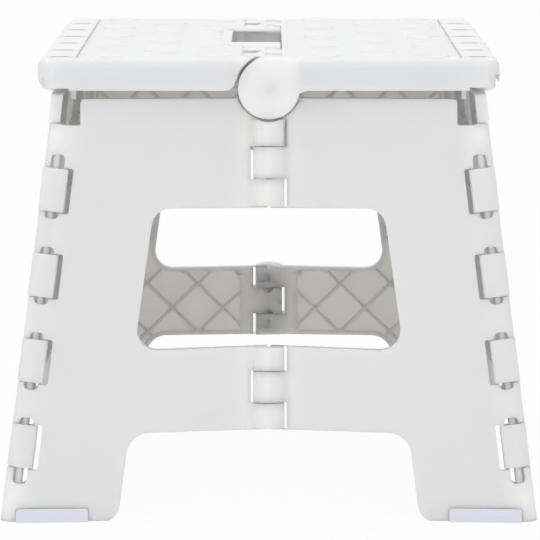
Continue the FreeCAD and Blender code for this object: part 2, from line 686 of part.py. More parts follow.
def strip_grooves(sign):
    """V grooves that part the end strip into ribs, over the edge and down the end."""
    half_x = TOP_LENGTH_X / 2
    edge_x = half_x - STRIP_WIDTH - 4.0
    pitch = TOP_DEPTH_Y / STRIP_RIBS
    reach = GROOVE_WIDTH / 2
    cuts = []
    for i in range(1, STRIP_RIBS):
        y = -TOP_DEPTH_Y / 2 + i * pitch
        across = rounded_face([(y - reach, TOP_SURFACE + 0.01, 0), (y, TOP_SURFACE - GROOVE_DEPTH, 0),
                               (y + reach, TOP_SURFACE + 0.01, 0)])
        x0, x1 = sorted((sign * edge_x, sign * (half_x + 1)))
        cuts.append(along_x(across, x0, x1))
        end = rounded_face([(sign * (half_x + 0.01), y - reach, 0), (sign * (half_x - GROOVE_DEPTH), y, 0),
                            (sign * (half_x + 0.01), y + reach, 0)])
        cuts.append(along_z(end, RIM_BOTTOM + END_RADIUS_LOW, TOP_SURFACE))
    cuts.append(box(sign * edge_x - 0.6, sign * edge_x + 0.6, -BIG, BIG, TOP_SURFACE - 0.7, HEIGHT + 1))
    return cuts


def grip_dots(sign, skip_inner):
    """Low round dots in staggered rows on one half of the top."""
    dots = []
    for column, x in enumerate(DOT_COLUMNS):
        staggered = column == 1
        rows = (-1.5, -0.5, 0.5, 1.5) if staggered else (-2, -1, 0, 1, 2)
        if column == 0 and skip_inner:
            rows = (-1.9, 1.9)
        for row in rows:
            low = Vector(sign * x, row * DOT_PITCH_Y, TOP_SURFACE - 0.5)
            dots.append(sided_bar(DOT_SIDES, DOT_RADIUS, low, low + Vector(0, 0, PAD_RELIEF + 0.5)))
    return dots


def finger_spans():
    """Y spans of the fingers at the front: boss, left, right, left."""
    spans = []
    start = -TOP_DEPTH_Y / 2
    spans.append((start, start + BOSS_THICKNESS))
    start += BOSS_THICKNESS + FINGER_GAP
    for _ in range(3):
        spans.append((start, start + FINGER_LENGTH))
        start += FINGER_LENGTH + FINGER_GAP
    return spans


def both_ends(spans):
    """The same spans at the front and, mirrored, at the back."""
    return list(spans) + [(-y1, -y0) for y0, y1 in spans]


BOSS_SPAN, LEFT_FINGER_A, RIGHT_FINGER, LEFT_FINGER_B = finger_spans()
LEFT_FINGERS = both_ends([LEFT_FINGER_A, LEFT_FINGER_B])
RIGHT_FINGERS = both_ends([RIGHT_FINGER])
BOSSES = both_ends([BOSS_SPAN])


def top_ribs_clear(body, x, z, room):
    """Cut the inner ribs and the end skirt clear of the side panel's barrels."""
    edge = x - math.copysign(8, x)
    body = body.cut(box(x - room, x + room, -END_RELIEF_Y, END_RELIEF_Y, z - room, z + room))
    return body.cut(box(min(x, edge), max(x, edge), -BIG, BIG, 150, z))


def corner_tabs(sign):
    """Stops that hang from the top into the corner notches."""
    tabs = []
    for end in (-1, 1):
        y0, y1 = sorted((end * 107.5, end * 113.0))
        x0, x1 = sorted((sign * 91.8, sign * 94.0))
        tabs.append(box(x0, x1, y0, y1, 199.3, TOP_SURFACE - 1))
    return tabs


def left_top():
    """Left half of the top with slot, finger recess and hinge fingers."""
    body = top_block(-1, LEFT_EDGE_X)
    rim_reach = top_block(-1, 0.0).common(fuse_all([
        box(-LEFT_EDGE_X - 2, 0, y0, y1, RIM_BOTTOM, HEIGHT) for y0, y1 in BOSSES]))
    body = body.fuse(rim_reach)
    hollow = top_hollow(-1, LEFT_EDGE_X + RIM_WALL)
    slot_wall = box(-SLOT_LEFT_X - RIM_WALL, 0, -SLOT_HALF_Y - RIM_WALL, SLOT_HALF_Y + RIM_WALL, 0, HEIGHT)
    recess_floor = box(-RECESS_LEFT_X - 2, -SLOT_LEFT_X, -SLOT_HALF_Y, SLOT_HALF_Y,
                       TOP_SURFACE - TOP_PLATE - RECESS_DEPTH, HEIGHT)
    body = body.cut(hollow.cut(slot_wall.fuse(recess_floor)))
    body = body.cut(box(-SLOT_LEFT_X, 40, -SLOT_HALF_Y, SLOT_HALF_Y, 0, HEIGHT + 1))
    body = body.cut(finger_recess())
    body = top_ribs_clear(body, -SIDE_AXIS_X, SIDE_AXIS_Z, SIDE_BARREL_RADIUS + 0.6)
    arms = []
    for y0, y1 in LEFT_FINGERS:
        arms.append(rod_y(0, TOP_AXIS_Z, LEFT_FINGER_RADIUS, y0, y1))
        arms.append(box(-26, 0, y0, y1, RIM_BOTTOM, TOP_AXIS_Z + LEFT_FINGER_RADIUS))
    body = body.fuse(arms)
    clear = [rod_y(0, TOP_AXIS_Z, BOSS_RADIUS + BOSS_GAP, y0 - 5 if y0 < 0 else y0 - FINGER_GAP,
                   y1 + FINGER_GAP if y0 < 0 else y1 + 5) for y0, y1 in BOSSES]
    clear += [rod_y(0, TOP_AXIS_Z, BOSS_RADIUS + 0.5, y0 - FINGER_GAP, y1 + FINGER_GAP)
              for y0, y1 in RIGHT_FINGERS]
    body = body.cut(clear)
    body = body.cut(rim_end_round())
    body = finish_top(-1, body, True)
    lugs = []
    for y0, y1 in TOP_LUGS_Y:
        lugs.append(rod_y(-SIDE_AXIS_X, SIDE_AXIS_Z, SIDE_BARREL_RADIUS, y0, y1))
        lugs.append(box(-SIDE_AXIS_X - 3, -SIDE_AXIS_X + 3, y0, y1, SIDE_AXIS_Z, TOP_SURFACE - 1))
    body = body.fuse(lugs)
    body = body.cut(hole_y(-SIDE_AXIS_X, SIDE_AXIS_Z, SIDE_PIN_RADIUS + 0.06, -SIDE_PIN_HALF, SIDE_PIN_HALF))
    body = body.cut([hole_y(0, TOP_AXIS_Z, TOP_PIN_RADIUS + 0.06, y0, y1) for y0, y1 in pin_spans()])
    return body.removeSplitter()


def rim_end_round():
    """Cutters that round the rim's lower corner where it stops at the bosses."""
    edge = BOSS_RADIUS + BOSS_GAP
    inner = edge + RIM_END_RADIUS
    centre = Vector(-inner, 0, RIM_BOTTOM + RIM_END_RADIUS)
    arc = arc_chords(centre, Vector(-inner, 0, RIM_BOTTOM), Vector(-edge, 0, RIM_BOTTOM + RIM_END_RADIUS), 4)
    corners = [Vector(-inner, 0, RIM_BOTTOM - 1)] + arc + [
        Vector(-edge + 3, 0, RIM_BOTTOM + RIM_END_RADIUS), Vector(-edge + 3, 0, RIM_BOTTOM - 1)]
    face = Part.Face(Part.makePolygon(corners + corners[:1]))
    return [along_y(face, y0 - 5 if y0 < 0 else y0 - FINGER_GAP, y1 + FINGER_GAP if y0 < 0 else y1 + 5)
            for y0, y1 in BOSSES]


def finger_recess():
    """Shallow ribbed scoop left of the slot, deepest at the slot."""
    scoop = along_y(rounded_face([
        (-RECESS_LEFT_X, TOP_SURFACE, 0), (-SLOT_LEFT_X + 2, TOP_SURFACE - RECESS_DEPTH, 0),
        (-SLOT_LEFT_X + 2, TOP_SURFACE + 2, 0), (-RECESS_LEFT_X, TOP_SURFACE + 2, 0)]),
        -SLOT_HALF_Y + 6, SLOT_HALF_Y - 6)
    ribs = []
    for i in range(-2, 3):
        y = i * RECESS_RIB_PITCH
        low = TOP_SURFACE - RECESS_DEPTH - 1
        ridge = rounded_face([(y - 2.2, low, 0), (y + 2.2, low, 0), (y, TOP_SURFACE - 1.2, 0)])
        ribs.append(along_x(ridge, -RECESS_LEFT_X, -SLOT_LEFT_X + 3))
    return scoop.cut(ribs)


def finish_top(sign, body, skip_inner):
    """End strip, dots, corner stops and the raised end skirt."""
    x0, x1 = sorted((sign * (SIDE_AXIS_X + 1.0), sign * (TOP_LENGTH_X / 2 + 1)))
    body = body.cut(box(x0, x1, -END_RELIEF_Y, END_RELIEF_Y, 0, END_SKIRT_BOTTOM))
    body = body.cut(strip_grooves(sign))
    return body.fuse(grip_dots(sign, skip_inner) + corner_tabs(sign))


def pin_spans():
    """Y spans of the two pins on the top's centre axis."""
    front = (BOSS_SPAN[0] + 3.0, LEFT_FINGER_B[1] - 1.5)
    return [front, (-front[1], -front[0])]


def right_top():
    """Right half of the top with the round bosses and hinge fingers."""
    body = top_block(1, RIGHT_EDGE_X)
    body = body.cut(top_hollow(1, RIGHT_EDGE_X + RIM_WALL))
    body = top_ribs_clear(body, SIDE_AXIS_X + HOOK_DRIFT, SIDE_AXIS_Z + HOOK_DRIFT,
                          SIDE_BARREL_RADIUS + HOOK_ROOM_UP + 0.4)
    body = body.cut([rod_y(0, TOP_AXIS_Z, LEFT_FINGER_RADIUS + 0.5, y0 - FINGER_GAP, y1 + FINGER_GAP)
                     for y0, y1 in LEFT_FINGERS])
    arms = []
    for y0, y1 in RIGHT_FINGERS + BOSSES:
        arms.append(rod_y(0, TOP_AXIS_Z, BOSS_RADIUS, y0, y1))
    for y0, y1 in RIGHT_FINGERS:
        arms.append(box(0, 26, y0, y1, RIM_BOTTOM, TOP_SURFACE))
    for y0, y1 in BOSSES:
        arms.append(top_block(1, 0.0).common(box(0, RIGHT_EDGE_X + 8, y0, y1, RIM_BOTTOM, HEIGHT)))
    # the boss runs into the rim's lower edge through a hollow curve
    blend = rounded_face([
        (0, RIM_BOTTOM + 1, 0), (BOSS_RADIUS + 8, RIM_BOTTOM + 1, 0), (BOSS_RADIUS + 8, RIM_BOTTOM, 0),
        (BOSS_RADIUS - 0.2, RIM_BOTTOM, 9.0), (BOSS_RADIUS - 7.4, RIM_BOTTOM - 12.4, 0), (0, RIM_BOTTOM - 8, 0)])
    front_rim = (BOSS_SPAN[0], BOSS_SPAN[0] + RIM_WALL)
    for y0, y1 in both_ends([front_rim]):
        arms.append(along_y(blend, y0, y1))
    body = body.fuse(arms)
    body = finish_top(1, body, False)
    lugs = []
    for y0, y1 in TOP_LUGS_Y:
        lugs.append(box(SIDE_AXIS_X - HOOK_ROOM_IN - SIDE_PIN_RADIUS - 2.0, TOP_LENGTH_X / 2 - 1.5,
                        y0, y1, SIDE_AXIS_Z - 1.0, TOP_SURFACE - 1))
    body = body.fuse(lugs)
    reach = SIDE_PIN_RADIUS
    room = rounded_face([
        (SIDE_AXIS_X - HOOK_ROOM_IN - reach, SIDE_AXIS_Z - 12, 0),
        (SIDE_AXIS_X + HOOK_ROOM_OUT + reach, SIDE_AXIS_Z - 12, 0),
        (SIDE_AXIS_X + HOOK_ROOM_OUT + reach, SIDE_AXIS_Z + HOOK_ROOM_UP + reach, 1.5),
        (SIDE_AXIS_X - HOOK_ROOM_IN - reach, SIDE_AXIS_Z + HOOK_ROOM_UP + reach, 1.5)])
    body = body.cut(along_y(room, -96, 96))
    body = body.cut(box(SIDE_AXIS_X + 1.0, TOP_LENGTH_X, -END_RELIEF_Y, END_RELIEF_Y, 0, END_SKIRT_BOTTOM))
    body = body.cut([hole_y(0, TOP_AXIS_Z, TOP_PIN_RADIUS, y0, y1) for y0, y1 in pin_spans()])
    return body.removeSplitter()


def export(shape, name):
    """Write one node."""
    if isinstance(shape, (list, tuple)):
        shape = Part.makeCompound(list(shape))
    shape.exportStep("parts/" + name + ".step")


def bore_other(panel, spans, radius):
    """Running bores for the centre pins in the neighbour's knuckles."""
    bores = []
    for z0, z1 in spans:
        low = CENTRE_FOOT + UP_PANEL * (z0 / math.cos(FRONT_LEAN))
        high = CENTRE_FOOT + UP_PANEL * (z1 / math.cos(FRONT_LEAN))
        bores.append(sided_bar(PIN_BORE_SIDES, radius, low, high))
    return panel.cut(bores)


front_left = half_panel(LEFT_KNUCKLES, RIGHT_KNUCKLES)
front_right = mirror_x(half_panel(RIGHT_KNUCKLES, LEFT_KNUCKLES))
front_left = bore_other(front_left, CENTRE_PINS, CENTRE_PIN_RADIUS)
front_right = bore_other(front_right, CENTRE_PINS, CENTRE_PIN_RADIUS + 0.06)
export(front_left, "front_left_panel")
export(front_right, "front_right_panel")
export(turned(front_left), "back_right_panel")
export(turned(front_right), "back_left_panel")

side_left = side_panel()
export(side_left, "side_left_panel")
export(turned(side_left), "side_right_panel")

rod = corner_bar(ROD_RADIUS, ROD_ENDS[0], ROD_ENDS[1])
export(rod, "corner_rod_front_left")
export(mirror_x(rod), "corner_rod_front_right")
export(turned(mirror_x(rod)), "corner_rod_back_left")
export(turned(rod), "corner_rod_back_right")

for pin_name, (pin_low, pin_high) in zip(("lower", "upper"), CENTRE_PINS):
    pin = centre_bar(CENTRE_PIN_RADIUS, pin_low, pin_high)
    export(pin, "centre_pin_front_" + pin_name)
    export(turned(pin), "centre_pin_back_" + pin_name)

export(left_top(), "top_left_half")
export(right_top(), "top_right_half")
for end_name, (pin_y0, pin_y1) in zip(("front", "back"), pin_spans()):
    export(rod_y(0, TOP_AXIS_Z, TOP_PIN_RADIUS, pin_y0, pin_y1), "top_pin_" + end_name)

side_pin = rod_y(-SIDE_AXIS_X, SIDE_AXIS_Z, SIDE_PIN_RADIUS, -SIDE_PIN_HALF, SIDE_PIN_HALF)
export(side_pin, "side_pin_left")
export(turned(side_pin), "side_pin_right")

pad = foot_pad()
export(pad, "foot_pad_front_left")
export(mirror_x(pad), "foot_pad_front_right")
export(turned(mirror_x(pad)), "foot_pad_back_left")
export(turned(pad), "foot_pad_back_right")
export(side_pads(), "side_pads_left")
export([turned(solid) for solid in side_pads()], "side_pads_right")
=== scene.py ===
"""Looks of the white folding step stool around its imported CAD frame.

Everything is in metres in the frame's own axes: +Z up, +X to the right of the
photographed front, +Y from that front to the back. New pieces are closed
surfaces worked out as numpy grids; the CAD nodes that stay get rounded edges
and moulded-plastic finishes.
"""

import logging
import math
from dataclasses import dataclass
from enum import Enum
from typing import Sequence

import bpy
import numpy as np
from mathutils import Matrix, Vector


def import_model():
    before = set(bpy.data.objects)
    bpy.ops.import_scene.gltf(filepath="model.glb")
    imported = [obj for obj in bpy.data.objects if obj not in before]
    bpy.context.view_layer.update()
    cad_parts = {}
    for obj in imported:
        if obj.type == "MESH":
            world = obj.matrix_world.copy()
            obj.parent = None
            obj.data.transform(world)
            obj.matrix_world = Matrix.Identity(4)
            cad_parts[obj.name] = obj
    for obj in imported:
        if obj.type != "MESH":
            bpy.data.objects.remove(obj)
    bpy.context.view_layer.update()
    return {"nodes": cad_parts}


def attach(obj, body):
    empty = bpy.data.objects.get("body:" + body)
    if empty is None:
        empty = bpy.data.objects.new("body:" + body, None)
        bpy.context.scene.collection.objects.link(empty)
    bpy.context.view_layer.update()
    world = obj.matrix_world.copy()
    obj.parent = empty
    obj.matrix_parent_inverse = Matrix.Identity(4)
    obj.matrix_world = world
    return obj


LOG = logging.getLogger("step_stool")
MM = 0.001


class Half(Enum):
    """Which half of the stool a piece is on, as the sign of X."""
    LEFT = -1
    RIGHT = 1

    @property
    def top_body(self) -> str:
        """The CAD body of this half of the top."""
        return "top_" + self.name.lower()


class End(Enum):
    """Front or back of the stool, as the sign of Y."""
    FRONT = -1
    BACK = 1


# Node groups that several finishes share


def new_group(name: str, inputs: Sequence[tuple], outputs: Sequence[tuple]) -> bpy.types.NodeTree:
    """Make a shader node group with named sockets.

    Args:
        name: the group's name.
        inputs: (name, socket type, default) of each input.
        outputs: (name, socket type) of each output.

    Returns:
        The group, holding only its input and output nodes.
    """
    group = bpy.data.node_groups.new(name, "ShaderNodeTree")
    for label, kind, default in inputs:
        socket = group.interface.new_socket(name=label, in_out="INPUT", socket_type=kind)
        socket.default_value = default
    for label, kind in outputs:
        group.interface.new_socket(name=label, in_out="OUTPUT", socket_type=kind)
    group.nodes.new("NodeGroupInput")
    group.nodes.new("NodeGroupOutput")
    return group


def math_node(tree: bpy.types.NodeTree, operation: str, first, second) -> bpy.types.NodeSocket:
    """Add a Math node and return its result.

    Args:
        tree: the tree that gets the node.
        operation: Blender's name of the operation.
        first: a socket to link, or a number.
        second: a socket to link, or a number.

    Returns:
        The result socket.
    """
    node = tree.nodes.new("ShaderNodeMath")
    node.operation = operation
    for socket, value in zip(node.inputs, (first, second)):
        if isinstance(value, (int, float)):
            socket.default_value = value
        else:
            tree.links.new(value, socket)
    return node.outputs[0]


def noise_node(tree: bpy.types.NodeTree, place, scale, detail: float) -> bpy.types.NodeSocket:
    """Add a noise texture and return its value.

    Args:
        tree: the tree that gets the node.
        place: the coordinate socket it reads.
        scale: a socket or a number, in cells per metre.
        detail: how many octaves are added.

    Returns:
        The noise value, from 0 to 1.
    """
    node = tree.nodes.new("ShaderNodeTexNoise")
    node.inputs["Detail"].default_value = detail
    tree.links.new(place, node.inputs["Vector"])
    if isinstance(scale, (int, float)):
        node.inputs["Scale"].default_value = scale
    else:
        tree.links.new(scale, node.inputs["Scale"])
    return node.outputs["Fac"]


def ends(group: bpy.types.NodeTree) -> tuple:
    """Input sockets by name and the output node of a group."""
    entry = next(n for n in group.nodes if n.bl_idname == "NodeGroupInput")
    leave = next(n for n in group.nodes if n.bl_idname == "NodeGroupOutput")
    return {s.name: s for s in entry.outputs}, leave


class SharedGroups:
    """Shader node groups built once and used by every finish."""

    def __init__(self) -> None:
        """Build the three groups."""
        self.grain = self._grain()
        self.flow = self._flow()
        self.handling = self._handling()

    @staticmethod
    def _grain() -> bpy.types.NodeTree:
        """Fine spark-eroded mould texture: height of two noises added."""
        group = new_group("mould_grain", [
            ("Place", "NodeSocketVector", (0, 0, 0)), ("Scale", "NodeSocketFloat", 2600.0),
        ], [("Height", "NodeSocketFloat")])
        given, leave = ends(group)
        fine = noise_node(group, given["Place"], given["Scale"], 2.0)
        coarse = noise_node(group, given["Place"], math_node(group, "MULTIPLY", given["Scale"], 0.18), 3.0)
        height = math_node(group, "ADD", math_node(group, "MULTIPLY", fine, 0.6), coarse)
        group.links.new(height, leave.inputs["Height"])
        return group

    @staticmethod
    def _flow() -> bpy.types.NodeTree:
        """Slow colour drift of moulded plastic, a warm and a cool cast."""
        group = new_group("flow_tint", [
            ("Place", "NodeSocketVector", (0, 0, 0)),
            ("Colour", "NodeSocketColor", (0.8, 0.8, 0.8, 1)),
            ("Drift Colour", "NodeSocketColor", (0.8, 0.78, 0.72, 1)),
            ("Amount", "NodeSocketFloat", 0.1),
        ], [("Colour", "NodeSocketColor")])
        given, leave = ends(group)
        slow = noise_node(group, given["Place"], 11.0, 3.0)
        lifted = math_node(group, "MULTIPLY", math_node(group, "SUBTRACT", slow, 0.35), 2.2)
        share = math_node(group, "MULTIPLY", lifted, given["Amount"])
        mix = group.nodes.new("ShaderNodeMix")
        mix.data_type = "RGBA"
        mix.clamp_factor = True
        group.links.new(share, mix.inputs["Factor"])
        group.links.new(given["Colour"], mix.inputs["A"])
        group.links.new(given["Drift Colour"], mix.inputs["B"])
        group.links.new(mix.outputs["Result"], leave.inputs["Colour"])
        return group

    @staticmethod
    def _handling() -> bpy.types.NodeTree:
        """Roughness with faint rubbed patches from hands and stacking."""
        group = new_group("handling_marks", [
            ("Place", "NodeSocketVector", (0, 0, 0)), ("Roughness", "NodeSocketFloat", 0.4),
            ("Spread", "NodeSocketFloat", 0.1),
        ], [("Roughness", "NodeSocketFloat")])
        given, leave = ends(group)
        patches = noise_node(group, given["Place"], 38.0, 5.0)
        streaks = noise_node(group, given["Place"], 240.0, 2.0)
        both = math_node(group, "ADD", patches, math_node(group, "MULTIPLY", streaks, 0.35))
        shift = math_node(group, "MULTIPLY", math_node(group, "SUBTRACT", both, 0.67), given["Spread"])
        group.links.new(math_node(group, "ADD", given["Roughness"], shift), leave.inputs["Roughness"])
        return group


@dataclass(frozen=True)
class MouldedFinish:
    """One moulded plastic or rubber finish.

    The colour drifts slowly toward a second cast, the roughness varies where
    hands rub it, and a fine mould grain gives the bump. Thin white walls also
    let some light through, warmer the deeper it goes.
    """
    name: str
    colour: tuple
    drift_colour: tuple
    drift: float = 0.25
    roughness: float = 0.42
    spread: float = 0.12
    grain_scale: float = 2600.0
    grain_depth: float = 0.02 * MM
    bump_strength: float = 0.35
    specular: float = 0.42
    see_through: float = 0.0
    depth: float = 9.0 * MM
    depth_colour: tuple = (1.0, 0.95, 0.85)

    def material(self, groups: SharedGroups) -> bpy.types.Material:
        """Build the material once.

        Args:
            groups: the shared node groups.

        Returns:
            The finished material.
        """
        known = bpy.data.materials.get(self.name)
        if known is not None:
            return known
        made = bpy.data.materials.new(self.name)
        made.use_nodes = True
        tree = made.node_tree
        shader = next(n for n in tree.nodes if n.bl_idname == "ShaderNodeBsdfPrincipled")
        shader.inputs["Specular IOR Level"].default_value = self.specular
        shader.inputs["Subsurface Weight"].default_value = self.see_through
        shader.inputs["Subsurface Radius"].default_value = self.depth_colour
        shader.inputs["Subsurface Scale"].default_value = self.depth
        place = tree.nodes.new("ShaderNodeTexCoord").outputs["Object"]
        tint = self._placed(tree, groups.flow, place)
        tint.inputs["Colour"].default_value = (*self.colour, 1)
        tint.inputs["Drift Colour"].default_value = (*self.drift_colour, 1)
        tint.inputs["Amount"].default_value = self.drift
        tree.links.new(tint.outputs["Colour"], shader.inputs["Base Color"])
        marks = self._placed(tree, groups.handling, place)
        marks.inputs["Roughness"].default_value = self.roughness
        marks.inputs["Spread"].default_value = self.spread
        tree.links.new(marks.outputs["Roughness"], shader.inputs["Roughness"])
        grain = self._placed(tree, groups.grain, place)
        grain.inputs["Scale"].default_value = self.grain_scale
        bump = tree.nodes.new("ShaderNodeBump")
        bump.inputs["Strength"].default_value = self.bump_strength
        bump.inputs["Distance"].default_value = self.grain_depth
        tree.links.new(grain.outputs["Height"], bump.inputs["Height"])
        tree.links.new(bump.outputs["Normal"], shader.inputs["Normal"])
        return made

    @staticmethod
    def _placed(tree: bpy.types.NodeTree, group: bpy.types.NodeTree, place) -> bpy.types.Node:
        """Put a shared group in a material and give it the coordinates."""
        node = tree.nodes.new("ShaderNodeGroup")
        node.node_tree = group
        tree.links.new(place, node.inputs["Place"])
        return node


SHELL = MouldedFinish("white_shell_plastic", (0.9, 0.89, 0.875), (0.9, 0.875, 0.81), see_through=0.9)
TOP_SHELL = MouldedFinish("white_top_plastic", (0.9, 0.9, 0.9), (0.895, 0.89, 0.87), roughness=0.36,
                          see_through=0.8)
TOP_TRIM = MouldedFinish("white_top_trim", (0.88, 0.88, 0.875), (0.875, 0.87, 0.85), roughness=0.36)
COMB = MouldedFinish("finger_comb_plastic", (0.86, 0.86, 0.9), (0.87, 0.87, 0.89), roughness=0.36)
ROD = MouldedFinish("rod_plastic", (0.74, 0.74, 0.73), (0.72, 0.71, 0.67), roughness=0.3,
                    grain_depth=0.01 * MM)
GRIP = MouldedFinish("foot_grip_rubber", (0.74, 0.76, 0.84), (0.76, 0.77, 0.82), roughness=0.62,
                     grain_scale=1800.0, grain_depth=0.04 * MM, specular=0.3)


# Surfaces as arrays


def closed_slab(outer: np.ndarray, inner: np.ndarray) -> tuple:
    """Join two grids of the same size into one closed shell.

    The outer grid keeps its order, the inner one is turned round, and the
    four borders are bridged with quads.

    Args:
        outer: points (rows, columns, 3) whose order makes outward faces.
        inner: points of the same shape behind the outer ones.

    Returns:
        (points, quads) as arrays.
    """
    rows, cols = outer.shape[:2]
    index = np.arange(rows * cols).reshape(rows, cols)
    back = index + rows * cols
    a, b, c, d = index[:-1, :-1], index[:-1, 1:], index[1:, 1:], index[1:, :-1]
    front_quads = np.stack([a, b, c, d], -1).reshape(-1, 4)
    a, b, c, d = back[:-1, :-1], back[1:, :-1], back[1:, 1:], back[:-1, 1:]
    back_quads = np.stack([a, b, c, d], -1).reshape(-1, 4)
    ring = np.concatenate([index[0, :-1], index[:-1, -1], index[-1, :0:-1], index[:0:-1, 0]])
    after = np.roll(ring, -1)
    shift = rows * cols
    wall = np.stack([ring, ring + shift, after + shift, after], -1)
    points = np.concatenate([outer.reshape(-1, 3), inner.reshape(-1, 3)])
    return points, np.concatenate([front_quads, back_quads, wall])


def joined(parts: Sequence[tuple]) -> tuple:
    """Put several meshes into one.

    Args:
        parts: (points, quads) of each mesh.

    Returns:
        (points, quads) of all of them, in the same order.
    """
    starts = np.cumsum([0] + [len(points) for points, _ in parts[:-1]])
    points = np.concatenate([points for points, _ in parts])
    quads = np.concatenate([quads + start for (_, quads), start in zip(parts, starts)])
    return points, quads


def smooth_step(value: np.ndarray) -> np.ndarray:
    """Ease from 0 to 1: 3t^2 - 2t^3 of the value held between 0 and 1."""
    t = np.clip(value, 0.0, 1.0)
    return t * t * (3.0 - 2.0 * t)


def add_piece(name: str, points: np.ndarray, faces: np.ndarray, material: bpy.types.Material, body: str) -> bpy.types.Object:
    """Make one smooth mesh piece in the part's frame and let it ride on a body.

    Args:
        name: the piece's name.
        points: its vertices in metres.
        faces: its polygons.
        material: its finish.
        body: the CAD body it moves with.

    Returns:
        The new object.
    """
    mesh = bpy.data.meshes.new(name)
    mesh.from_pydata(points.tolist(), [], faces.tolist())
    mesh.polygons.foreach_set("use_smooth", np.full(len(mesh.polygons), True))
    mesh.update()
    mesh.materials.append(material)
    made = bpy.data.objects.new(name, mesh)
    bpy.context.scene.collection.objects.link(made)
    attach(made, body)
    LOG.info("piece %s: %d faces on %s", name, len(mesh.polygons), body)
    return made


@dataclass
class Shells:
    """The CAD mouldings that stay, with rounded edges and their finish."""
    groups: SharedGroups
    edge_round: float = 0.45 * MM
    weld: float = 0.004 * MM
    edge_angle: float = math.radians(32)
    edge_segments: int = 2
    face_weight: int = 50

    def dress(self, nodes: dict, names: Sequence[str], finish: MouldedFinish,
              round_edges: bool = True) -> None:
        """Give CAD nodes a finish and, where asked, soft moulded edges.

        Args:
            nodes: the frame's nodes by name.
            names: the nodes to dress.
            finish: the plastic they are moulded in.
            round_edges: whether a bevel rounds their corners.
        """
        material = finish.material(self.groups)
        for name in names:
            node = nodes[name]
            node.data.materials.clear()
            node.data.materials.append(material)
            if round_edges:
                self._round(node)
            LOG.info("node %s dressed in %s", name, finish.name)

    def _round(self, node: bpy.types.Object) -> None:
        """Merge the loose triangles and bevel the corners, as modifiers."""
        weld = node.modifiers.new("join", "WELD")
        weld.merge_threshold = self.weld
        bevel = node.modifiers.new("moulded_edge", "BEVEL")
        bevel.width = self.edge_round
        bevel.segments = self.edge_segments
        bevel.limit_method = "ANGLE"
        bevel.angle_limit = self.edge_angle
        bevel.use_clamp_overlap = True
        bevel.harden_normals = False
        weighted = node.modifiers.new("face_normals", "WEIGHTED_NORMAL")
        weighted.keep_sharp = False
        weighted.weight = self.face_weight


@dataclass
class EndStrip:
    """Overlapping ribs on the lower strip along one end of the top."""
    half: Half
    groups: SharedGroups
    inner_x: float = 91.8 * MM
    flat_x: float = 104.5 * MM
    edge_radius: float = 5.5 * MM
    wrap: float = math.radians(64)
    top_z: float = 219.5 * MM
    depth_y: float = 238.0 * MM
    end_margin: float = 6.0 * MM
    rib_margin: float = 1.2 * MM
    rib_count: int = 6
    relief: float = 0.48 * MM
    sunk: float = 0.5 * MM
    bow: float = 0.10
    front_share: float = 0.16
    back_level: float = 0.28
    side_power: float = 0.4
    side_hold: float = 0.02
    fade_from: float = 0.75
    fade_over: float = 0.4
    columns: int = 26
    rows: int = 18

    def surface(self) -> tuple:
        """Work out all ribs of the strip.

        The base curve runs flat from the step to the edge, then round the
        edge: x = flat + R sin a, z = top - R + R cos a. Each rib adds along
        the curve's normal a height relief * sin(pi u)^0.4 * r(w), with u
        across the strip. r rises steeply over the front share of the rib and
        falls gently to the back level, and w is v - bow * sin(pi u), so the
        crests bow. The height fades out as the curve turns down.

        Returns:
            (points, quads) of six closed thin shells as one mesh.
        """
        flat = self.flat_x - self.inner_x
        length = flat + self.edge_radius * self.wrap
        along = np.linspace(0.0, 1.0, self.columns)
        angle = np.clip((along * length - flat) / self.edge_radius, 0.0, None)
        base_x = np.where(angle > 0, self.flat_x + self.edge_radius * np.sin(angle),
                          self.inner_x + along * length)
        base_z = self.top_z - self.edge_radius * (1.0 - np.cos(angle))
        normal_x, normal_z = np.sin(angle), np.cos(angle)
        arch = np.sin(np.pi * along)
        side = np.sin(np.pi * np.clip(along, self.side_hold, 1.0 - self.side_hold)) ** self.side_power
        fade = 1.0 - smooth_step((angle - self.fade_from) / self.fade_over)
        across = np.linspace(0.0, 1.0, self.rows)[:, None]
        bent = np.clip(across - self.bow * arch, 0.0, 1.0)
        back_fall = smooth_step((bent - self.front_share) / (1.0 - self.front_share))
        rise = smooth_step(bent / self.front_share) * (1.0 - (1.0 - self.back_level) * back_fall)
        height = self.relief * rise * side * fade
        sunk = np.full_like(height, -self.sunk)
        parts = []
        for low, high in self._spans():
            y = (low + (high - low) * across) * np.ones_like(along)
            outer = self._lifted(base_x, base_z, normal_x, normal_z, y, height)
            inner = self._lifted(base_x, base_z, normal_x, normal_z, y, sunk)
            if self.half is Half.LEFT:
                outer, inner = outer[:, ::-1], inner[:, ::-1]
            parts.append(closed_slab(outer[::-1], inner[::-1]))
        return joined(parts)

    def _spans(self) -> list:
        """Front and back Y of each rib, with a wider margin at the two ends."""
        pitch = self.depth_y / self.rib_count
        fronts = -self.depth_y / 2 + np.arange(self.rib_count) * pitch
        lows = fronts + self.rib_margin
        highs = fronts + pitch - self.rib_margin
        lows[0] = fronts[0] + self.end_margin
        highs[-1] = fronts[-1] + pitch - self.end_margin
        return list(zip(lows, highs))

    def _lifted(self, base_x: np.ndarray, base_z: np.ndarray, normal_x: np.ndarray, normal_z: np.ndarray,
                y: np.ndarray, height: np.ndarray) -> np.ndarray:
        """Points of the base curve moved along its normal, on this half's side."""
        x = (base_x + normal_x * height) * self.half.value
        z = base_z + normal_z * height
        return np.stack([x, y, z], -1)

    def build(self) -> None:
        """Make the strip's ribs and let them ride on their half."""
        points, faces = self.surface()
        add_piece("strip_ribs_" + self.half.name.lower(), points, faces,
                  TOP_TRIM.material(self.groups), self.half.top_body)


